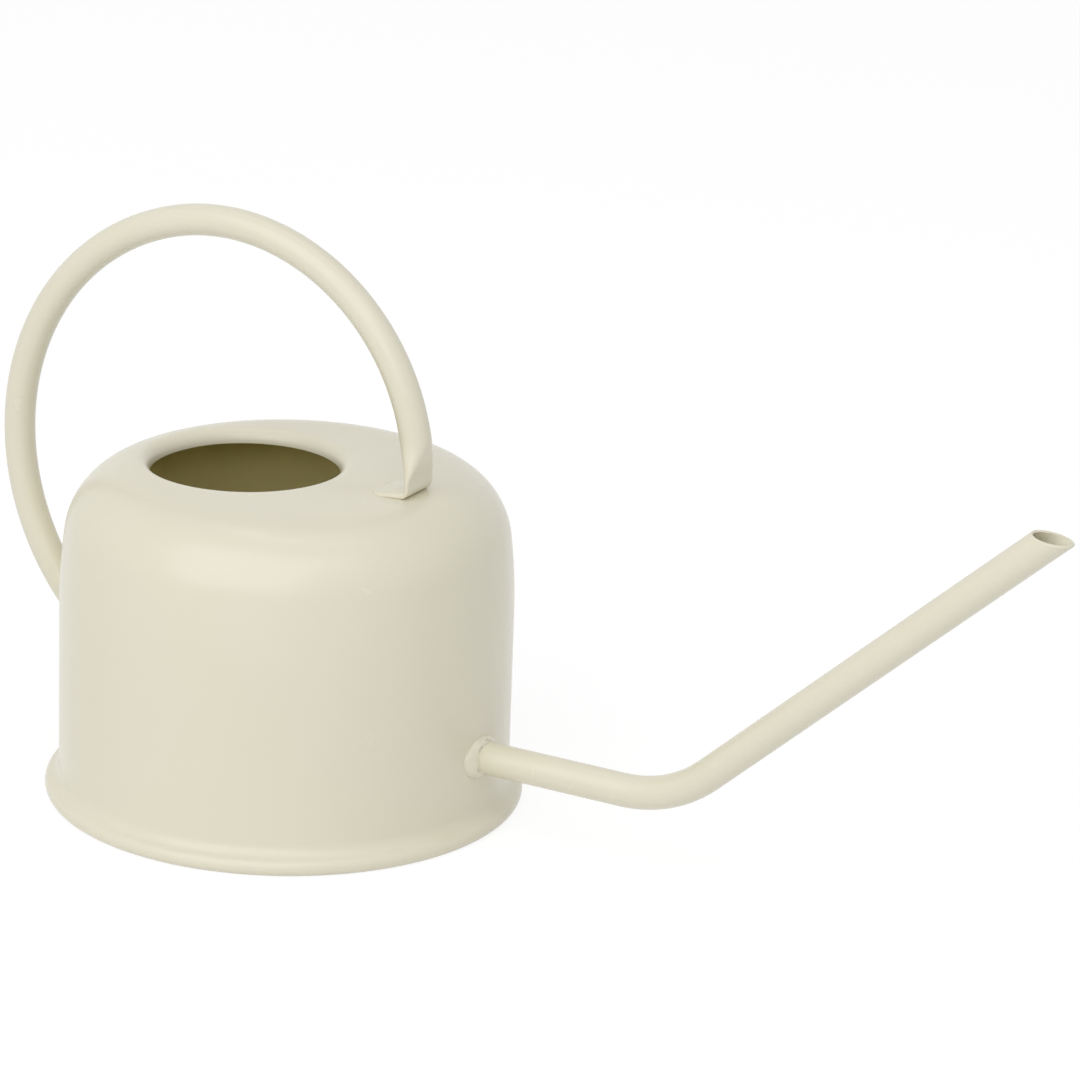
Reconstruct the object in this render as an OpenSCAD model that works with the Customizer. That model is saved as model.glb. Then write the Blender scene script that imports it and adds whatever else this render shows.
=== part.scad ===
// Indoor watering can of painted sheet steel: a drawn bell body with a turned-down filling mouth,
// a base rolled into its foot, a bent tube spout and a hoop handle of tube with flattened feet.
// Millimetres. +Z is up, the spout points along +X, and the origin is the centre of the foot.

/* [Body] */
// Outer radius of the straight wall
body_r = 64.9; // [52:0.1:80]
// Height of the body over the ground
body_h = 96.9; // [78:0.1:125]
// Thickness of the sheet
sheet_t = 0.8; // [0.6:0.1:1]
// Radius of the long curve that draws the wall in
sweep_r = 165; // [120:1:220]
// Angle of that long curve
sweep_a = 7.7; // [5:0.1:10]
// Radius of the shoulder
shoulder_r = 20.9; // [14:0.1:26]

/* [Foot] */
// Radius of the hollow curve between the wall and the rolled rim
flare_r = 4; // [3:0.1:6]
// How far the rolled rim stands out from the wall
foot_out = 4; // [3.4:0.1:5]
// Outer radius of the rolled rim's section
curl_r = 2.5; // [2.4:0.1:3]
// How far past its lowest point the rim is rolled
curl_a = 60; // [20:5:80]
// How deep the rim is pressed flat where it stands on the ground
foot_flat = 0.1; // [0.05:0.05:0.2]
// Gap between the two sheets in the rolled rim
seam_gap = 0.05; // [0.02:0.01:0.1]

/* [Filling mouth] */
// Distance of the mouth's centre from the body's axis, towards the handle's back
mouth_back = 14.8; // [8:0.1:18]
// Radius of the clear opening
mouth_r = 27.2; // [20:0.1:33]
// Radius of the turned-down lip
lip_r = 3.7; // [2.5:0.1:5]
// Straight drop under the lip
lip_drop = 0.5; // [0.3:0.1:2]

/* [Spout] */
// Outer radius of the spout tube
spout_r = 4.75; // [3.8:0.05:6]
// Wall of the spout tube
spout_t = 0.8; // [0.6:0.1:1.2]
// Height of the spout's axis where it leaves the wall
spout_z = 23.5; // [18:0.1:32]
// Distance from the wall to the corner of the spout's axis
spout_run = 60.4; // [45:0.1:80]
// Bend radius of the spout's axis
spout_bend_r = 39; // [28:0.5:50]
// Rise of the spout's long stretch, in degrees
spout_rise = 42.1; // [30:0.1:52]
// Length of the axis from the corner to the cut end
spout_len = 145.4; // [110:0.1:175]
// Fall of the cut end towards the front, in degrees
tip_fall = 10; // [0:1:20]
// Clearance of the spout in the hole in the wall
fit_gap = 0.1; // [0.05:0.05:0.2]
// Radius of the weld bead's section
weld_r = 2.2; // [1.5:0.1:3]
// How far the centre of the bead's section lies inside the wall
weld_sink = 0.4; // [0.2:0.1:1]

/* [Handle] */
// Outer radius of the handle tube
handle_r = 4.5; // [3.6:0.1:5.6]
// Wall of the handle tube
handle_t = 0.8; // [0.6:0.1:1.2]
// Distance of the front leg from the plane of the wall
leg_inset = 22.9; // [16:0.1:28]
// Height of the front arc's centre over the body's top
hoop_rise = 4.3; // [2:0.1:12]
// How far the hoop's axis stands out behind the wall
hoop_reach = 27.7; // [20:0.1:36]
// How much the front arc is tighter than half the hoop's span
hoop_skew = 3.2; // [0:0.1:6]
// Angle at which the front arc passes into the back arc
hoop_join_a = 105; // [95:1:115]
// Length over which the tube is pressed flat
press_len = 13; // [9:0.5:18]
// Inner radius of the fold above each foot
fold_r = 1; // [0.6:0.1:2]
// Length of the tab on the top, past the fold
front_tab = 9.5; // [5:0.5:12]
// Length of the tab on the wall, past the fold
back_tab = 9; // [5:0.5:12]
// Corner radius of the tabs
tab_corner_r = 3; // [1:0.5:4]

/* [Hidden] */
$fn = 96;
HULL_FN = 32;
FAR = 400;          // larger than any part of the can
SLICE = 0.2;        // thickness of the slices that a hull joins
LAP = 0.3;          // length by which a bent pipe or a pressed end runs into its neighbour
SKIN = 0.02;        // step between the skins of two pieces that run into each other
HAIR = 0.01;        // overlap of the pieces of a flat section
LIP_SET = 0.05;     // how far the lip's ring is set under the edge that it joins
CREAM = "#E8E4D2";

// Profile of the body: two arcs that run into each other, from the wall to the flat top
wall_top = body_h - sweep_r * sin(sweep_a) - shoulder_r * (1 - sin(sweep_a));
sweep_c = [body_r - sweep_r, wall_top];
shoulder_c = sweep_c + (sweep_r - shoulder_r) * dir(sweep_a);

// Foot: a hollow arc that runs into the rolled rim
rim_c = [body_r + foot_out - curl_r, curl_r - foot_flat];
flare_dx = body_r + flare_r - rim_c.x;
flare_dz = sqrt(pow(flare_r + curl_r, 2) - pow(flare_dx, 2));
flare_c = [body_r + flare_r, rim_c.y + flare_dz];
flare_end_a = 180 + atan2(flare_dz, flare_dx);
inner_curl_r = curl_r - sheet_t - seam_gap;
floor_top = rim_c.y + inner_curl_r;

// Lip: its ring lies just under the lowest place of the top's edge round the mouth
rim_r = mouth_r + lip_r;
lip_z = top_z(rim_r + mouth_back) - LIP_SET;

// Spout
bend_cut = spout_bend_r * tan(spout_rise / 2);
corner = [body_r + spout_run, spout_z];
bend_start = corner - [bend_cut, 0];
bend_end = corner + bend_cut * dir(spout_rise);
tip = corner + spout_len * dir(spout_rise);
hole_r = spout_r + fit_gap;

// Hoop: a front arc and a back arc, and a pressed plate of two walls at each end
leg_x = body_r - leg_inset;
span = leg_x + body_r + hoop_reach;
front_r = span / 2 - hoop_skew;
back_r = (span - front_r * (1 - cos(hoop_join_a))) / (1 + cos(hoop_join_a));
front_c = [leg_x - front_r, body_h + hoop_rise];
back_c = front_c + (front_r - back_r) * dir(hoop_join_a);
plate_t = 2 * handle_t;
plate_w = PI * (handle_r - handle_t / 2) + handle_t;
fold_mid_r = fold_r + handle_t;
stub = 1;           // length of plate before the fold
front_corner = [leg_x, body_h + handle_t];
front_press_z = body_h + plate_t + fold_r + press_len;
front_a = asin((front_press_z - front_c.y) / front_r);
back_hit_a = 180 + acos((body_r + handle_t + back_c.x) / back_r);
back_corner = back_c + back_r * dir(back_hit_a);
back_heading = back_hit_a - 270;
back_press_a = back_hit_a - (press_len + fold_r + plate_t) / back_r * 180 / PI;

function dir(a) = [cos(a), sin(a)];

// Height of the top's outer surface at a distance from the body's axis
function top_z(r) =
    r <= shoulder_c.x ? body_h
    : shoulder_c.y + sqrt(pow(shoulder_r, 2) - pow(r - shoulder_c.x, 2));

// Strip of sheet bent round the centre c, from angle a0 to a1, in steps of under 90 degrees
module bent_strip(c, r, t, a0, a1) {
    steps = ceil((a1 - a0) / 80);
    step = (a1 - a0) / steps;
    reach = 1.1 * (r + t) / cos(step / 2);
    for (i = [0:steps - 1]) {
        from = a0 + i * step;
        translate(c) intersection() {
            difference() {
                circle(r + t);
                circle(r);
            }
            polygon([[0, 0], reach * dir(from), reach * dir(from + step / 2), reach * dir(from + step)]);
        }
    }
}

// Half section of the bell's sheet, from the flat top down to the foot
module bell_section() {
    translate([0, body_h - sheet_t]) square([shoulder_c.x, sheet_t]);
    bent_strip(shoulder_c, shoulder_r - sheet_t, sheet_t, sweep_a, 90);
    bent_strip(sweep_c, sweep_r - sheet_t, sheet_t, 0, sweep_a);
    translate([body_r - sheet_t, flare_c.y]) square([sheet_t, wall_top - flare_c.y]);
    bent_strip(flare_c, flare_r, sheet_t, 180, flare_end_a);
    difference() {
        bent_strip(rim_c, curl_r - sheet_t, sheet_t, -90 - curl_a, flare_end_a - 180);
        translate([0, -curl_r]) square([2 * body_r, curl_r]);
    }
}

// Half section of the lip that turns down into the mouth, with the band that joins it to the top
module lip_section() {
    translate([rim_r, -sheet_t]) square(sheet_t);
    bent_strip([rim_r, -lip_r], lip_r - sheet_t, sheet_t, 90, 180);
    translate([mouth_r, -lip_r - lip_drop]) square([sheet_t, lip_drop]);
}

module body_shell() color(CREAM) {
    difference() {
        rotate_extrude() bell_section();
        translate([-mouth_back, 0, body_h / 2]) cylinder(h = body_h, r = rim_r + sheet_t / 2);
        translate([body_r / 2, 0, spout_z]) rotate([0, 90, 0]) cylinder(h = body_r, r = hole_r);
    }
    translate([-mouth_back, 0, lip_z]) rotate_extrude() lip_section();
}

module base_plate() color(CREAM) {
    rotate_extrude() {
        translate([0, floor_top - sheet_t]) square([rim_c.x, sheet_t]);
        bent_strip(rim_c, inner_curl_r - sheet_t, sheet_t, -90 - curl_a, 90);
    }
}

// Puts its children at a point of the plane y = 0, with their X axis turned up by the angle a
module at(p, a) {
    translate([p.x, 0, p.y]) rotate([0, -a, 0]) children();
}

module pipe(p, a, length, r, t) {
    at(p, a) rotate([0, 90, 0]) linear_extrude(length) difference() {
        circle(r);
        circle(r - t);
    }
}

// Pipe bent round the centre c, from angle a0 to a1, running a little way into its neighbours
module bent_pipe(c, bend_r, r, t, a0, a1) {
    lap = LAP / bend_r * 180 / PI;
    at(c, 0) rotate([90, 0, 0]) rotate_extrude(angle = a1 - a0 + 2 * lap, start = a0 - lap)
        translate([bend_r, 0]) difference() {
            circle(r);
            circle(r - t);
        }
}

module spout_tube() color(CREAM) {
    difference() {
        pipe([body_r / 2, spout_z], 0, bend_start.x - body_r / 2, spout_r, spout_t);
        cylinder(h = body_h, r = body_r - sheet_t);
    }
    bent_pipe(bend_start + [0, spout_bend_r], spout_bend_r, spout_r + SKIN, spout_t + 2 * SKIN,
        -90, spout_rise - 90);
    difference() {
        pipe(bend_end, spout_rise, spout_len - bend_cut + 2 * spout_r, spout_r, spout_t);
        at(tip, -tip_fall) translate([-FAR / 2, -FAR / 2, 0]) cube(FAR);
    }
}

module spout_weld() color(CREAM) {
    difference() {
        translate([body_r - weld_sink, 0, spout_z]) rotate([0, 90, 0]) rotate_extrude()
            translate([spout_r, 0]) intersection() {
                circle(weld_r);
                translate([0, -weld_r]) square(2 * weld_r);
            }
        cylinder(h = body_h, r = body_r, $fn = 240);
    }
}

// Pressed end of the tube: from the round end at p to the plate at plate_p with the heading plate_a
module pressed_end(p, a, plate_p, plate_a, r, w, t) {
    hull() {
        at(p, a) translate([-LAP, 0, 0]) rotate([0, 90, 0]) cylinder(h = SLICE, r = r, $fn = HULL_FN);
        at(plate_p, plate_a) translate([LAP - SLICE, -w / 2, -t / 2]) cube([SLICE, w, t]);
    }
}

// Outline of the plate: it runs along +X and ends in two round corners
module plate_outline(length) {
    flat = plate_w - 2 * tab_corner_r;
    translate([-press_len, -plate_w / 2]) square([length + press_len - tab_corner_r, plate_w]);
    translate([0, -flat / 2]) square([length, flat]);
    for (side = [-1, 1])
        translate([length - tab_corner_r, side * flat / 2]) circle(tab_corner_r);
}

// Folded plate with the heading a, bent to its right at the corner p of its middle line
module folded_plate(p, a, turn, length, sink) {
    cut = fold_mid_r * tan(turn / 2);
    intersection() {
        at(p, a) translate([0, plate_w, 0]) rotate([90, 0, 0]) linear_extrude(2 * plate_w) {
            translate([-cut - stub, -plate_t / 2]) square([stub + HAIR, plate_t]);
            bent_strip([-cut, -fold_mid_r], fold_r, plate_t, 90 - turn, 90);
            rotate(-turn) translate([cut - HAIR, -plate_t / 2]) square([2 * length, plate_t + sink]);
        }
        at(p, a - turn) translate([0, 0, -press_len]) linear_extrude(2 * press_len) plate_outline(length);
    }
}

// Foot of the hoop: the tube's end pressed to a plate of two walls, folded on to its seat
module foot(p, a, corner, plate_a, turn, length, sink) {
    plate_p = corner - (fold_mid_r * tan(turn / 2) + stub) * dir(plate_a);
    difference() {
        pressed_end(p, a, plate_p, plate_a, handle_r - SKIN, plate_w - SKIN, plate_t - SKIN);
        pressed_end(p, a, plate_p - 2 * LAP * dir(plate_a), plate_a,
            handle_r - handle_t - SKIN, plate_w - plate_t, SKIN);
    }
    folded_plate(corner, plate_a, turn, length, sink);
}

module handle_tube() color(CREAM) {
    bent_pipe(front_c, front_r, handle_r + SKIN, handle_t + 2 * SKIN, front_a, hoop_join_a);
    bent_pipe(back_c, back_r, handle_r, handle_t, hoop_join_a, back_press_a);
    foot(front_c + front_r * dir(front_a), front_a - 90, front_corner, -90, 90, front_tab, 0);
    difference() {
        foot(back_c + back_r * dir(back_press_a), back_press_a + 90,
            back_corner, back_heading, 90 + back_heading, back_tab, handle_t);
        cylinder(h = body_h, r = body_r);
    }
}

body_shell();
base_plate();
spout_tube();
spout_weld();
handle_tube();
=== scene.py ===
# Indoor watering can: sheet steel bell, hoop handle and long spout, all in cream powder coat.
from math import acos, atan2, cos, degrees, pi, radians, sin, sqrt, tan

import bmesh
import bpy
from mathutils import Matrix, Quaternion, Vector, noise


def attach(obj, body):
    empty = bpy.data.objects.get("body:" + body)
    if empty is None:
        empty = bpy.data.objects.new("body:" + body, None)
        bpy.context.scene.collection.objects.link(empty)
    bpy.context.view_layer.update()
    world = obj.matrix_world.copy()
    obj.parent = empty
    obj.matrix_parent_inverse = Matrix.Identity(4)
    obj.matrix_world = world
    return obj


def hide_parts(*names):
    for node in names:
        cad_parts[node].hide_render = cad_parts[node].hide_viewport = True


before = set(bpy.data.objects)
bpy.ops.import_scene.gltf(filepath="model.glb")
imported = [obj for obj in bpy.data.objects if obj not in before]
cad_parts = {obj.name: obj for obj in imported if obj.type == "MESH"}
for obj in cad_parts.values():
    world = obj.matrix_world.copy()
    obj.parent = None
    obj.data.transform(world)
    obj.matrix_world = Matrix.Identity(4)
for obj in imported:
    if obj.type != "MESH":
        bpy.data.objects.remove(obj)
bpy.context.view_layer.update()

mm = 0.001
scene = bpy.context.scene

# Small helpers for the modelling. Lengths are in mm until they reach a mesh.
shop = {
    "weldPoints": 0.002,   # points closer than this become one
    "edgeSegments": 3,     # steps in every softened edge
    "edgeAngle": 50,       # edges sharper than this are softened
}


def unit(angle):
    return Vector((cos(radians(angle)), sin(radians(angle))))


def arc(centre, radius, start, end, steps):
    return [Vector(centre) + radius * unit(start + (end - start) * i / steps) for i in range(steps + 1)]


def smooth(t):
    t = min(max(t, 0), 1)
    return t * t * (3 - 2 * t)


def ringEdges(bm, ring):
    return [bm.edges.get((a, b)) for a, b in zip(ring, ring[1:] + ring[:1])]


def nextRing(bm, ring):  # extrudes a closed ring and gives the new one back in the same order
    made = bmesh.ops.extrude_edge_only(bm, edges=ringEdges(bm, ring))["geom"]
    fresh = {v for v in made if isinstance(v, bmesh.types.BMVert)}
    return [next(e.other_vert(v) for e in v.link_edges if e.other_vert(v) in fresh) for v in ring]


def spinProfile(bm, points, steps):  # turns a half section (radius, height) round the Z axis
    verts = [bm.verts.new((p.x * mm, 0, p.y * mm)) for p in points]
    edges = [bm.edges.new(pair) for pair in zip(verts, verts[1:])]
    bmesh.ops.spin(bm, geom=verts + edges, cent=(0, 0, 0), axis=(0, 0, 1), angle=2 * pi,
                   steps=steps, use_merge=True)


def finishPiece(bm, name, node, materials):
    bmesh.ops.remove_doubles(bm, verts=bm.verts, dist=shop["weldPoints"] * mm)
    bmesh.ops.recalc_face_normals(bm, faces=bm.faces)
    for face in bm.faces:
        face.smooth = True
    mesh = bpy.data.meshes.new(name)
    bm.to_mesh(mesh)
    bm.free()
    for material in materials:
        mesh.materials.append(material)
    piece = bpy.data.objects.new(name, mesh)
    scene.collection.objects.link(piece)
    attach(piece, "root")
    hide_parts(node)
    return piece


def sheetWall(piece, thickness, roundEdge):  # gives a skin its sheet thickness, inwards, with soft edges
    wall = piece.modifiers.new("sheet", "SOLIDIFY")
    wall.thickness = thickness * mm
    wall.offset = -1
    wall.use_even_offset = True
    wall.material_offset = 1
    wall.material_offset_rim = 0
    soft = piece.modifiers.new("soft edge", "BEVEL")
    soft.width = roundEdge * mm
    soft.segments = shop["edgeSegments"]
    soft.limit_method = "ANGLE"
    soft.angle_limit = radians(shop["edgeAngle"])


# Finishes. Sizes, depths and reaches are in mm.
coat = {
    "cream": (0.800, 0.762, 0.615),
    "thin": (0.765, 0.712, 0.545),                     # where the coat went on a little thinner
    "roughness": 0.25,
    "cloudSize": 45, "cloudDetail": 3, "cloudGrit": 0.45,
    "cloudFrom": (0.42, 0.78), "cloudMost": 0.30,      # noise at which thin colour starts and is most
    "glossPerMetre": 140, "glossDetail": 5, "glossSpread": 0.05,
    "peelSize": 1.5, "peelDepth": 0.012, "peelDetail": 1.5, "peelGrit": 0.4,
}
lacquer = {
    "gold": (0.92, 0.84, 0.44),
    "paintedShadeOlive": (0.46, 0.38, 0.08),                       # painted shade: darker olive high up, where the top shades the inside
    "paintedShadeAbove": (78, 94),                            # height above the ground over which the painted shade comes in
    # noise that makes the edge of the painted shade uneven
    "shadeEdgeSize": 14, "shadeEdgeDetail": 2, "shadeEdgeReach": 6,
    "roughness": 0.35,
}
bore = {
    # dark colour painted in the bore as shade
    "boreShade": (0.20, 0.175, 0.10),
    "roughness": 0.45,
    "sprayReach": (7, 14),                             # in from the tip
    "patchSize": 3, "patchDetail": 3, "patchReach": 3,
}
crack = {
    "colour": (0.40, 0.37, 0.30),
    "out": 0.55, "halfWidth": (0.02, 0.10), "depth": 0.1,
    "wander": 1.6, "wanderSize": 1.6, "wanderDetail": 4,
    "breakSize": 3.5, "breakDetail": 1, "breakFrom": (0.46, 0.54),
}


def feed(tree, value, socket):  # links a socket, or sets a number or colour
    if isinstance(value, bpy.types.NodeSocket):
        tree.links.new(value, socket)
    else:
        socket.default_value = value


def objectPlace(tree):
    return tree.nodes.new("ShaderNodeTexCoord").outputs["Object"]


def noiseAt(tree, where, perMetre, detail, grit=0.5):
    grain = tree.nodes.new("ShaderNodeTexNoise")
    tree.links.new(where, grain.inputs["Vector"])
    feed(tree, perMetre, grain.inputs["Scale"])
    feed(tree, detail, grain.inputs["Detail"])
    feed(tree, grit, grain.inputs["Roughness"])
    return grain.outputs["Fac"]


def calculate(tree, operation, first, second=0):  # one sum on two values or sockets
    total = tree.nodes.new("ShaderNodeMath")
    total.operation = operation
    feed(tree, first, total.inputs[0])
    feed(tree, second, total.inputs[1])
    return total.outputs["Value"]


def uneven(tree, where, size, detail, depth):  # noise from 0 to a depth
    return calculate(tree, "MULTIPLY", noiseAt(tree, where, 1 / (size * mm), detail), depth * mm)


def ramp(tree, value, start, end, low, high, curve="SMOOTHSTEP"):
    share = tree.nodes.new("ShaderNodeMapRange")
    share.interpolation_type = curve
    for label, number in (("From Min", start), ("From Max", end), ("To Min", low), ("To Max", high)):
        feed(tree, number, share.inputs[label])
    tree.links.new(value, share.inputs["Value"])
    return share.outputs["Result"]


def blendColour(tree, share, low, high):
    mix = tree.nodes.new("ShaderNodeMix")
    mix.data_type = "RGBA"
    tree.links.new(share, mix.inputs["Factor"])
    for label, colour in (("A", low), ("B", high)):
        plain = isinstance(colour, tuple)
        feed(tree, (*colour, 1) if plain else colour, mix.inputs[label])
    return mix.outputs["Result"]


def makeCoatGroup():  # sprayed and baked paint: faint clouds of colour, orange peel, uneven gloss
    tree = bpy.data.node_groups.new("bakedCoat", "ShaderNodeTree")
    for side, label, kind in (("INPUT", "Colour", "Color"), ("INPUT", "Thin colour", "Color"),
                              ("INPUT", "Clouds", "Float"), ("INPUT", "Roughness", "Float"),
                              ("INPUT", "Peel per metre", "Float"), ("INPUT", "Peel depth", "Float"),
                              ("OUTPUT", "Colour", "Color"), ("OUTPUT", "Roughness", "Float"),
                              ("OUTPUT", "Normal", "Vector")):
        tree.interface.new_socket(label, in_out=side, socket_type="NodeSocket" + kind)
    enter, leave = tree.nodes.new("NodeGroupInput"), tree.nodes.new("NodeGroupOutput")
    where = objectPlace(tree)

    clouds = noiseAt(tree, where, enter.outputs["Clouds"], coat["cloudDetail"], coat["cloudGrit"])
    share = ramp(tree, clouds, *coat["cloudFrom"], 0, coat["cloudMost"], "LINEAR")
    colour = blendColour(tree, share, enter.outputs["Colour"], enter.outputs["Thin colour"])
    tree.links.new(colour, leave.inputs["Colour"])

    gloss = noiseAt(tree, where, coat["glossPerMetre"], coat["glossDetail"])
    spread = ramp(tree, gloss, 0, 1, -coat["glossSpread"], coat["glossSpread"], "LINEAR")
    tree.links.new(calculate(tree, "ADD", enter.outputs["Roughness"], spread), leave.inputs["Roughness"])

    peel = noiseAt(tree, where, enter.outputs["Peel per metre"], coat["peelDetail"], coat["peelGrit"])
    bump = tree.nodes.new("ShaderNodeBump")
    bump.inputs["Strength"].default_value = 1
    tree.links.new(peel, bump.inputs["Height"])
    tree.links.new(enter.outputs["Peel depth"], bump.inputs["Distance"])
    tree.links.new(bump.outputs["Normal"], leave.inputs["Normal"])
    return tree


def coatedMaterial(name, group, colour, thin, roughness):
    material = bpy.data.materials.new(name)
    material.use_nodes = True
    tree = material.node_tree
    shader = tree.nodes["Principled BSDF"]
    paint = tree.nodes.new("ShaderNodeGroup")
    paint.node_tree = group
    for label, value in (("Colour", (*colour, 1)), ("Thin colour", (*thin, 1)),
                         ("Clouds", 1 / (coat["cloudSize"] * mm)), ("Roughness", roughness),
                         ("Peel per metre", 1 / (coat["peelSize"] * mm)),
                         ("Peel depth", coat["peelDepth"] * mm)):
        paint.inputs[label].default_value = value
    tree.links.new(paint.outputs["Colour"], shader.inputs["Base Color"])
    tree.links.new(paint.outputs["Roughness"], shader.inputs["Roughness"])
    tree.links.new(paint.outputs["Normal"], shader.inputs["Normal"])
    return material


def repaint(tree, colour, thin):  # gives the coat colours that change over the piece
    paint = next(n for n in tree.nodes if n.type == "GROUP")
    tree.links.new(colour, paint.inputs["Colour"])
    tree.links.new(thin, paint.inputs["Thin colour"])
    return paint


def lacquerAndShadeMaterial(group):  # gold lacquer inside, pale low down, with painted shade in darker olive under the top
    material = coatedMaterial("goldLacquerAndPaintedShade", group, lacquer["gold"], lacquer["gold"],
                              lacquer["roughness"])
    tree = material.node_tree
    where = objectPlace(tree)
    axes = tree.nodes.new("ShaderNodeSeparateXYZ")
    tree.links.new(where, axes.inputs[0])
    shadeEdgeNoise = uneven(tree, where, lacquer["shadeEdgeSize"], lacquer["shadeEdgeDetail"], lacquer["shadeEdgeReach"])
    low, high = lacquer["paintedShadeAbove"]
    # thick is the share of painted shade, rising towards the top, with a noisy edge
    thick = ramp(tree, calculate(tree, "ADD", axes.outputs["Z"], shadeEdgeNoise), low * mm, high * mm, 0, 1)
    colour = blendColour(tree, thick, lacquer["gold"], lacquer["paintedShadeOlive"])
    repaint(tree, colour, colour)
    return material


def boreMaterial(group, tipAt, along):  # painted shade: dark deeper down the tube's bore, with cream overspray near the tip
    material = coatedMaterial("tubeBore", group, bore["boreShade"], bore["boreShade"], bore["roughness"])
    tree = material.node_tree
    where = objectPlace(tree)
    depth = tree.nodes.new("ShaderNodeVectorMath")
    depth.operation = "DOT_PRODUCT"
    depth.inputs[1].default_value = along
    tree.links.new(where, depth.inputs[0])
    patches = uneven(tree, where, bore["patchSize"], bore["patchDetail"], bore["patchReach"])
    reach = calculate(tree, "ADD", depth.outputs["Value"], patches)
    end = Vector(tipAt).dot(Vector(along))
    near, far = bore["sprayReach"]
    spray = ramp(tree, reach, end - far * mm, end - near * mm, 0, 1)
    # dark painted shade deeper in the bore, cream where the spray reached near the tip
    colour = blendColour(tree, spray, bore["boreShade"], coat["cream"])
    repaint(tree, colour, colour)
    return material


def weldMaterial(group, height, radius):  # a ragged crack in the coat where the bead meets the tube
    material = coatedMaterial("weldCoat", group, coat["cream"], coat["thin"], coat["roughness"])
    tree = material.node_tree
    where = objectPlace(tree)
    across = tree.nodes.new("ShaderNodeVectorMath")
    across.operation = "MULTIPLY_ADD"
    across.inputs[1].default_value = (0, 1, 1)
    across.inputs[2].default_value = (0, 0, -height)
    tree.links.new(where, across.inputs[0])
    size = tree.nodes.new("ShaderNodeVectorMath")
    size.operation = "LENGTH"
    tree.links.new(across.outputs["Vector"], size.inputs[0])
    wander = uneven(tree, where, crack["wanderSize"], crack["wanderDetail"], crack["wander"])
    ring = calculate(tree, "ADD", size.outputs["Value"], wander)
    off = calculate(tree, "SUBTRACT", ring, radius + (crack["out"] + crack["wander"] / 2) * mm)
    near, far = crack["halfWidth"]
    line = ramp(tree, calculate(tree, "ABSOLUTE", off), near * mm, far * mm, 1, 0)
    breaks = noiseAt(tree, where, 1 / (crack["breakSize"] * mm), crack["breakDetail"])
    split = calculate(tree, "MULTIPLY", line, ramp(tree, breaks, *crack["breakFrom"], 0, 1))
    paint = repaint(tree, blendColour(tree, split, coat["cream"], crack["colour"]),
                    blendColour(tree, split, coat["thin"], crack["colour"]))
    dip = tree.nodes.new("ShaderNodeBump")
    dip.invert = True
    dip.inputs["Distance"].default_value = crack["depth"] * mm
    tree.links.new(split, dip.inputs["Height"])
    tree.links.new(paint.outputs["Normal"], dip.inputs["Normal"])
    tree.links.new(dip.outputs["Normal"], tree.nodes["Principled BSDF"].inputs["Normal"])
    return material


coatGroup = makeCoatGroup()
creamCoat = coatedMaterial("creamPowderCoat", coatGroup, coat["cream"], coat["thin"], coat["roughness"])
lacquerAndPaintedShade = lacquerAndShadeMaterial(coatGroup)
print("finishes ready")

# Bell body: wall, shoulder, top and turned-down mouth are one drawn sheet.
bell = {
    "wallRadius": 64.9, "height": 96.9, "sheet": 0.8, "roundEdge": 0.25,
    "sweepRadius": 165, "sweepAngle": 7.7, "shoulderRadius": 20.9, "shoulderStop": 70,
    "flareRadius": 4, "footOut": 4, "curlRadius": 2.5, "curlPast": 60, "footFlat": 0.1,
    "mouthBack": 14.8, "mouthRadius": 27.2, "lipRadius": 3.7, "lipDrop": 0.5,
    "around": 192, "curlRows": 26, "flareRows": 10, "wallRows": 22, "sweepRows": 8,
    "shoulderRows": 20, "topRings": 12, "lipRows": 12,
}
base = {"seamGap": 0.05, "roundEdge": 0.2, "rings": 12, "seamRows": 20}  # disc held in the foot's curl

sweepSine = sin(radians(bell["sweepAngle"]))
wallTop = bell["height"] - bell["sweepRadius"] * sweepSine - bell["shoulderRadius"] * (1 - sweepSine)
sweepCentre = Vector((bell["wallRadius"] - bell["sweepRadius"], wallTop))
shoulderCentre = sweepCentre + (bell["sweepRadius"] - bell["shoulderRadius"]) * unit(bell["sweepAngle"])
rimCentre = Vector((bell["wallRadius"] + bell["footOut"] - bell["curlRadius"],
                    bell["curlRadius"] - bell["footFlat"]))
flareOut = bell["wallRadius"] + bell["flareRadius"] - rimCentre.x
flareUp = sqrt((bell["flareRadius"] + bell["curlRadius"]) ** 2 - flareOut ** 2)
flareCentre = rimCentre + Vector((flareOut, flareUp))
flareEnd = degrees(atan2(flareUp, flareOut))


def topHeight(radius):
    if radius <= shoulderCentre.x:
        return bell["height"]
    return shoulderCentre.y + sqrt(bell["shoulderRadius"] ** 2 - (radius - shoulderCentre.x) ** 2)


def bellProfile():  # from the end of the foot's curl up to where the shoulder turns into the top
    points = arc(rimCentre, bell["curlRadius"], -90 - bell["curlPast"], flareEnd, bell["curlRows"])
    points += arc(flareCentre, bell["flareRadius"], 180 + flareEnd, 180, bell["flareRows"])[1:]
    rows = bell["wallRows"]
    points += [Vector((bell["wallRadius"], flareCentre.y + (wallTop - flareCentre.y) * (i + 1) / rows))
               for i in range(rows)]
    points += arc(sweepCentre, bell["sweepRadius"], 0, bell["sweepAngle"], bell["sweepRows"])[1:]
    points += arc(shoulderCentre, bell["shoulderRadius"], bell["sweepAngle"], bell["shoulderStop"],
                  bell["shoulderRows"])[1:]
    for point in points:
        point.y = max(point.y, 0)
    return points


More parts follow.
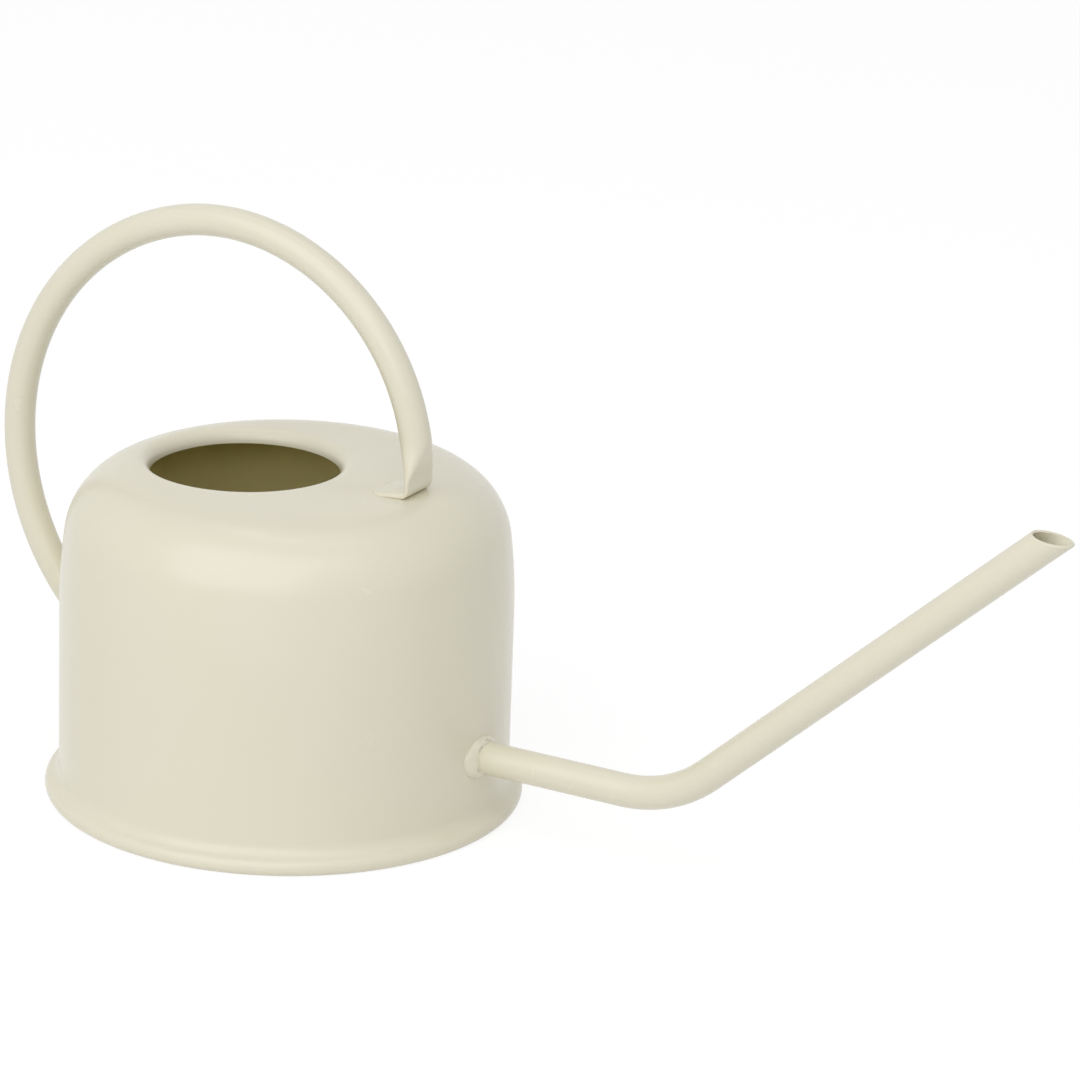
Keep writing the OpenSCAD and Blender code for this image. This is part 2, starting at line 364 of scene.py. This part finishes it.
def makeBell():
    profile = bellProfile()
    bm = bmesh.new()
    spinProfile(bm, profile, bell["around"])
    nearTop = (profile[-1].y - 0.01) * mm
    ring = sorted((v for v in bm.verts if v.co.z > nearTop), key=lambda v: atan2(v.co.y, v.co.x))
    edge = [v.co.copy() / mm for v in ring]
    rimRadius = bell["mouthRadius"] + bell["lipRadius"]
    turns = [atan2(p.y, p.x) for p in edge]
    mouth = [Vector((rimRadius * cos(a) - bell["mouthBack"], rimRadius * sin(a))) for a in turns]
    for i in range(1, bell["topRings"] + 1):
        ring = nextRing(bm, ring)
        for vert, outer, inner in zip(ring, edge, mouth):
            flat = outer.xy.lerp(inner, i / bell["topRings"])
            vert.co = Vector((flat.x, flat.y, topHeight(flat.length))) * mm
    lip = arc((rimRadius, -bell["lipRadius"]), bell["lipRadius"], 90, 180, bell["lipRows"])[1:]
    lip.append(lip[-1] - Vector((0, bell["lipDrop"])))
    for step in lip:
        ring = nextRing(bm, ring)
        for vert, turn, start in zip(ring, turns, mouth):
            vert.co = Vector((step.x * cos(turn) - bell["mouthBack"], step.x * sin(turn),
                              topHeight(start.length) + step.y)) * mm
    piece = finishPiece(bm, "bellBody", "body_shell", [creamCoat, lacquerAndPaintedShade])
    sheetWall(piece, bell["sheet"], bell["roundEdge"])
    return piece


def makeBase():
    inner = bell["curlRadius"] - bell["sheet"] - base["seamGap"]
    rings = base["rings"]
    profile = [Vector((rimCentre.x * i / rings, rimCentre.y + inner)) for i in range(rings)]
    profile += arc(rimCentre, inner, 90, -90 - bell["curlPast"], base["seamRows"])
    bm = bmesh.new()
    spinProfile(bm, profile, bell["around"])
    piece = finishPiece(bm, "baseDisc", "base_plate", [lacquerAndPaintedShade, creamCoat])
    sheetWall(piece, bell["sheet"], base["roundEdge"])


bellBody = makeBell()
makeBase()
print("body and base ready")

# Spout: one tube with a single bend and a slanted tip.
spout = {
    "radius": 4.75, "wall": 0.8, "height": 23.5, "run": 60.4, "bendRadius": 39, "rise": 42.1,
    "length": 145.4, "tipFall": 10, "tipSpare": 8, "roundEdge": 0.38,
    "around": 56, "rootRows": 8, "bendRows": 28, "neckRows": 14,
    "holeGap": 0.1, "drillLength": 8,
}
bendCut = spout["bendRadius"] * tan(radians(spout["rise"] / 2))
corner = Vector((bell["wallRadius"] + spout["run"], spout["height"]))
tip = corner + spout["length"] * unit(spout["rise"])


def onSpoutAxis(x):  # where a ring or a drill stands upright across the spout's root
    return Matrix.Translation((x * mm, 0, spout["height"] * mm)) @ Matrix.Rotation(pi / 2, 4, "Y")


def drillWall(piece):  # cuts the hole that lets water from the body into the spout
    bm = bmesh.new()
    hole = (spout["radius"] + spout["holeGap"]) * mm
    bmesh.ops.create_cone(bm, cap_ends=True, segments=spout["around"], radius1=hole, radius2=hole,
                          depth=spout["drillLength"] * mm, matrix=onSpoutAxis(bell["wallRadius"]))
    mesh = bpy.data.meshes.new("drill")
    bm.to_mesh(mesh)
    bm.free()
    mesh.materials.append(lacquerAndPaintedShade)
    drill = bpy.data.objects.new("drill", mesh)
    scene.collection.objects.link(drill)
    cut = piece.modifiers.new("spout hole", "BOOLEAN")
    cut.object = drill
    cut.operation = "DIFFERENCE"
    cut.solver = "EXACT"
    graph = bpy.context.evaluated_depsgraph_get()
    drilled = bpy.data.meshes.new_from_object(piece.evaluated_get(graph), depsgraph=graph)
    piece.modifiers.clear()
    piece.data = drilled
    bpy.data.objects.remove(drill)


def makeSpout():
    bm = bmesh.new()
    start = bell["wallRadius"] - bell["sheet"]
    bendStart = corner.x - bendCut
    ring = bmesh.ops.create_circle(bm, segments=spout["around"], radius=spout["radius"] * mm,
                                   matrix=onSpoutAxis(start))["verts"]
    for i in range(spout["rootRows"]):
        ring = nextRing(bm, ring)
        bmesh.ops.translate(bm, verts=ring, vec=((bendStart - start) / spout["rootRows"] * mm, 0, 0))
    swung = bmesh.ops.spin(bm, geom=ring + ringEdges(bm, ring), axis=(0, -1, 0),
                           cent=(bendStart * mm, 0, (spout["height"] + spout["bendRadius"]) * mm),
                           angle=radians(spout["rise"]), steps=spout["bendRows"])["geom_last"]
    ends = [v for v in swung if isinstance(v, bmesh.types.BMVert)]
    middle = sum((v.co for v in ends), Vector()) / len(ends)
    rise = radians(spout["rise"])
    along = Vector((cos(rise), 0, sin(rise)))
    up = Vector((-sin(rise), 0, cos(rise)))
    across = Vector((0, 1, 0))
    ring = sorted(ends, key=lambda v: atan2((v.co - middle).dot(up), (v.co - middle).dot(across)))
    neck = spout["length"] - bendCut + spout["tipSpare"]
    for i in range(spout["neckRows"]):
        ring = nextRing(bm, ring)
        bmesh.ops.translate(bm, verts=ring, vec=along * neck / spout["neckRows"] * mm)
    slant = unit(90 - spout["tipFall"])
    tipAt = (tip.x * mm, 0, tip.y * mm)
    bmesh.ops.bisect_plane(bm, geom=bm.verts[:] + bm.edges[:] + bm.faces[:], dist=1e-7,
                           plane_co=tipAt, plane_no=(slant.x, 0, slant.y), clear_outer=True)
    inside = boreMaterial(coatGroup, tipAt, along)
    piece = finishPiece(bm, "spoutTube", "spout_tube", [creamCoat, inside])
    sheetWall(piece, spout["wall"], spout["roundEdge"])


drillWall(bellBody)
makeSpout()
print("spout ready")

# Weld bead round the spout's root, wider at its sides than above and below.
bead = {
    "along": 2.5, "outward": 1.25, "sideways": 3.3, "fullness": 1.65, "sink": 0.3,
    "lumps": 0.26, "lumpFineness": 0.6, "ripple": 0.07, "rippleFineness": 2,
    "noiseReach": 2.2, "noiseStart": 4,
    "bumps": ((0.9, 165, 0.45), (1.4, 62, 0.4)),      # along the spout, turn round it, height
    "bumpSize": 1.6, "bumpAcross": 5, "bumpAlong": 0.8,
    "segments": 28, "around": 144,
}


def makeWeld():
    bm = bmesh.new()
    wallAt = bell["wallRadius"]
    place = Matrix.Translation(((wallAt - bead["sink"]) * mm, 0,
                                (spout["height"] + spout["radius"]) * mm))
    ring = bmesh.ops.create_circle(bm, segments=bead["segments"], radius=mm,
                                   matrix=place @ Matrix.Rotation(pi / 2, 4, "X"))["verts"]
    bmesh.ops.spin(bm, geom=ring + ringEdges(bm, ring), cent=(0, 0, spout["height"] * mm),
                   axis=(1, 0, 0), angle=2 * pi, steps=bead["around"], use_merge=True)
    for vert in bm.verts:
        flat = Vector((vert.co.y, vert.co.z)) / mm - Vector((0, spout["height"]))
        outward = flat.normalized()
        section = Vector((vert.co.x / mm - wallAt + bead["sink"], flat.length - spout["radius"]))
        section.normalize()
        power = bead["fullness"] if section.x > 0 and section.y > 0 else 2
        width = bead["outward"] + (bead["sideways"] - bead["outward"]) * outward.x ** 2
        size = (abs(section.x) / bead["along"]) ** power + (abs(section.y) / width) ** power
        size **= -1 / power
        spot = (outward * bead["noiseReach"]).to_3d() + Vector((0, 0, bead["noiseStart"]))
        size *= (1 + bead["lumps"] * noise.noise(spot * bead["lumpFineness"])
                 + bead["ripple"] * noise.noise(spot * bead["rippleFineness"] + section.to_3d()))
        for out, turn, swell in bead["bumps"]:  # drops of weld that the coat has run over
            away = ((outward - unit(turn)).length * bead["bumpAcross"]
                    + abs(section.x * size - out) * bead["bumpAlong"])
            size += swell * smooth(1 - away / bead["bumpSize"])
        reach = outward * (spout["radius"] + section.y * size)
        wall = sqrt(wallAt ** 2 - reach.x ** 2)
        vert.co = Vector((wall - bead["sink"] + section.x * size, reach.x,
                          spout["height"] + reach.y)) * mm
    cracked = weldMaterial(coatGroup, spout["height"] * mm, spout["radius"] * mm)
    finishPiece(bm, "spoutWeld", "spout_weld", [cracked])


makeWeld()
print("weld ready")

# Hoop handle: one tube, pressed flat and folded on to the top and the wall.
hoop = {
    "radius": 4.5, "flatHalf": 0.8, "legInset": 22.9, "rise": 4.3, "reach": 27.7, "skew": 3.2,
    "joinAngle": 105, "foldRadius": 1.95, "frontTab": 11.5, "backTab": 9, "seatGap": 0.02,
    "press": 12.5, "pressStart": 1, "foldShares": (0.6, 0.3),       # front and back
    "tabCorner": 3, "tabThin": 0.32, "edgeThin": 0.12, "coatFillet": 0.55,
    "tabRows": (0, 0.12, 0.3, 0.6, 1, 1.5, 2, 2.5, 3, 5),           # in from the tab's end
    "around": 44, "foldRows": (10, 8), "hoopRows": (84, 100), "legRows": 3,
}
joinAt = cos(radians(hoop["joinAngle"]))
legX = bell["wallRadius"] - hoop["legInset"]
span = legX + bell["wallRadius"] + hoop["reach"]
frontRadius = span / 2 - hoop["skew"]
backRadius = (span - frontRadius * (1 - joinAt)) / (1 + joinAt)
frontCentre = Vector((legX - frontRadius, bell["height"] + hoop["rise"]))
backCentre = frontCentre + (frontRadius - backRadius) * unit(hoop["joinAngle"])


def stations(centre, radius, start, end, steps, heading):  # points on an arc, each with its heading
    points = arc(centre, radius, start, end, steps)
    return [(p, heading + (end - start) * i / steps) for i, p in enumerate(points)]


def hoopPath():  # centre line from the front tab's end to the back tab's end
    half, fold, join = hoop["flatHalf"], hoop["foldRadius"], hoop["joinAngle"]
    frontFold, backFold = hoop["foldRows"]
    frontRows, backRows = hoop["hoopRows"]
    seat = bell["height"] + half + hoop["seatGap"]
    tabStart = legX - hoop["frontTab"]
    path = [(Vector((tabStart + s, seat)), 0) for s in hoop["tabRows"]]
    path += stations((legX - fold, seat + fold), fold, -90, 0, frontFold, 0)
    legFoot = seat + fold
    for i in range(1, hoop["legRows"]):
        path.append((Vector((legX, legFoot + (frontCentre.y - legFoot) * i / hoop["legRows"])), 90))
    path += stations(frontCentre, frontRadius, 0, join, frontRows, 90)

    hit = 180 + degrees(acos((bell["wallRadius"] + half + backCentre.x) / backRadius))
    heading = hit - 270
    cut = fold * tan(radians((90 + heading) / 2))
    last = hit - degrees(cut / backRadius)
    path += stations(backCentre, backRadius, join, last, backRows, join + 90)[1:]
    meet = backCentre + backRadius * unit(hit)
    foldCentre = meet - cut * unit(heading) + fold * unit(heading - 90)
    path += stations(foldCentre, fold, heading + 90, 0, backFold, heading + 360)[1:]
    bottom = meet.y - hoop["backTab"]
    path += [(Vector((meet.x, bottom + s)), 270) for s in reversed(hoop["tabRows"])]
    return path


def makeHoop():
    path = hoopPath()
    lengths = [0]
    for (a, _), (b, _) in zip(path, path[1:]):
        lengths.append(lengths[-1] + (b - a).length)
    total = lengths[-1]
    frontShare, backShare = hoop["foldShares"]
    frontPress = hoop["frontTab"] + hoop["foldRadius"] * frontShare + hoop["pressStart"]
    backPress = hoop["backTab"] + hoop["foldRadius"] * backShare + hoop["pressStart"]
    bm = bmesh.new()
    ring = bmesh.ops.create_circle(bm, segments=hoop["around"], radius=hoop["radius"] * mm)["verts"]
    first = ring
    for i, ((point, heading), length) in enumerate(zip(path, lengths)):
        if i:
            ring = nextRing(bm, ring)
        frontOut, backOut = length, total - length
        flatBack = 1 - smooth((backOut - backPress) / hoop["press"])
        flat = max(1 - smooth((frontOut - frontPress) / hoop["press"]), flatBack)
        thick = hoop["radius"] + (hoop["flatHalf"] - hoop["radius"]) * flat
        wide = thick + pi / 2 * (hoop["radius"] - thick)
        ends = min(frontOut, backOut)
        seat = -1 if frontOut < backOut else 1  # which way the foot faces its seat
        if flat == 1:
            thick *= hoop["tabThin"] + (1 - hoop["tabThin"]) * smooth(ends / hoop["backTab"])
        if ends < hoop["tabCorner"]:
            wide -= hoop["tabCorner"] - sqrt(hoop["tabCorner"] ** 2 - (hoop["tabCorner"] - ends) ** 2)
        if ends < thick:
            thick *= max(sqrt(1 - (1 - ends / thick) ** 2), hoop["edgeThin"])
        drop = seat * max(hoop["flatHalf"] - thick, 0)
        normal = unit(heading + 90)
        for k, vert in enumerate(ring):
            a = 2 * pi * (k + 0.5) / hoop["around"]
            hand = 1 if sin(a) > 0 else -1
            run = wide - thick + flat * hoop["coatFillet"] * (1 + seat * cos(a)) / 2
            rounded = ends > hoop["backTab"] or seat * cos(a) < 0
            side = thick * (sin(a) if rounded else hand) + run * hand  # a tab's sides drop to its seat
            spot = point + normal * (thick * cos(a) + drop)
            if length > total / 2:  # the back foot is shaped to the round wall
                spot.x += flatBack * (bell["wallRadius"] - sqrt(bell["wallRadius"] ** 2 - side ** 2))
            vert.co = Vector((spot.x, side, spot.y)) * mm
    bmesh.ops.edgeloop_fill(bm, edges=ringEdges(bm, first))
    bmesh.ops.edgeloop_fill(bm, edges=ringEdges(bm, ring))
    finishPiece(bm, "hoopHandle", "handle_tube", [creamCoat])


makeHoop()
print("handle ready")

# Camera, light and floor, in metres.
view = {
    "azimuth": 28.5, "elevation": 18.73, "distance": 1.3514, "roll": 2.01, "lens": 163.2,
    "target": (0.08141, 0, 0.09115),
}
studio = {
    "ambient": 0.52, "floor": 0.88, "floorShare": 0.74, "floorWhite": 1.13,
    "floorRadius": 4, "floorCorners": 64,
}
lamps = {  # place, aim, size in metres and power in watts
    "frontLamp": ((0.12, -1.46, 1.28), (0.02, 0, 0.06), (2.4, 2.1), 19.4),
    "rightLamp": ((0.75, -0.35, 1.15), (0.06, 0, 0.05), (0.5, 0.5), 0.5),
    "stripLampLeft": ((-0.28, 0.15, 1.5), (0, 0, 0.1), (0.08, 0.7), 0.5),
    "stripLampRight": ((0.24, 0.15, 1.5), (0, 0, 0.1), (0.08, 0.7), 0.5),
}


def makeCamera():
    turn, tilt = radians(view["azimuth"]), radians(view["elevation"])
    ahead = Vector((-sin(turn) * cos(tilt), cos(turn) * cos(tilt), -sin(tilt)))
    data = bpy.data.cameras.new("camera")
    data.lens = view["lens"]
    camera = bpy.data.objects.new("camera", data)
    camera.location = Vector(view["target"]) - ahead * view["distance"]
    camera.rotation_mode = "QUATERNION"
    camera.rotation_quaternion = (ahead.to_track_quat("-Z", "Y")
                                  @ Quaternion((0, 0, 1), radians(view["roll"])))
    scene.collection.objects.link(camera)
    scene.camera = camera


def softBox(name, place, aim, size, power):
    data = bpy.data.lights.new(name, "AREA")
    data.shape = "RECTANGLE"
    data.size, data.size_y = size
    data.energy = power
    lamp = bpy.data.objects.new(name, data)
    lamp.location = place
    lamp.rotation_euler = (Vector(aim) - Vector(place)).to_track_quat("-Z", "Y").to_euler()
    scene.collection.objects.link(lamp)


def seenDirectly(tree):  # 1 for camera, glossy and transmission rays
    path = tree.nodes.new("ShaderNodeLightPath")
    total = path.outputs["Is Camera Ray"]
    for ray in ("Is Glossy Ray", "Is Transmission Ray"):
        total = calculate(tree, "ADD", total, path.outputs[ray])
        total.node.use_clamp = True
    return total


def makeFloor():
    bm = bmesh.new()
    bmesh.ops.create_circle(bm, segments=studio["floorCorners"], radius=studio["floorRadius"],
                            cap_ends=True)
    mesh = bpy.data.meshes.new("floor")
    bm.to_mesh(mesh)
    bm.free()
    floor = bpy.data.objects.new("floor", mesh)
    scene.collection.objects.link(floor)
    material = bpy.data.materials.new("paleFloor")
    material.use_nodes = True
    tree = material.node_tree
    lit = tree.nodes["Principled BSDF"]
    lit.inputs["Base Color"].default_value = (studio["floor"],) * 3 + (1,)
    lit.inputs["Roughness"].default_value = 1
    lit.inputs["Specular IOR Level"].default_value = 0
    white = tree.nodes.new("ShaderNodeEmission")
    white.inputs["Strength"].default_value = studio["floorWhite"]
    mix = tree.nodes.new("ShaderNodeMixShader")
    tree.links.new(calculate(tree, "MULTIPLY", seenDirectly(tree), studio["floorShare"]), mix.inputs[0])
    tree.links.new(lit.outputs["BSDF"], mix.inputs[1])
    tree.links.new(white.outputs["Emission"], mix.inputs[2])
    tree.links.new(mix.outputs["Shader"], tree.nodes["Material Output"].inputs["Surface"])
    mesh.materials.append(material)


def makeWorld():
    world = bpy.data.worlds.new("studio")
    world.use_nodes = True
    scene.world = world
    tree = world.node_tree
    level = ramp(tree, seenDirectly(tree), 0, 1, studio["ambient"], 1, "LINEAR")
    background = tree.nodes["Background"]
    background.inputs["Color"].default_value = (1, 1, 1, 1)
    tree.links.new(level, background.inputs["Strength"])


makeCamera()
makeFloor()
makeWorld()
for name, (place, aim, size, power) in lamps.items():
    softBox(name, place, aim, size, power)
scene.view_settings.view_transform = "Standard"
print("camera, light and floor ready")
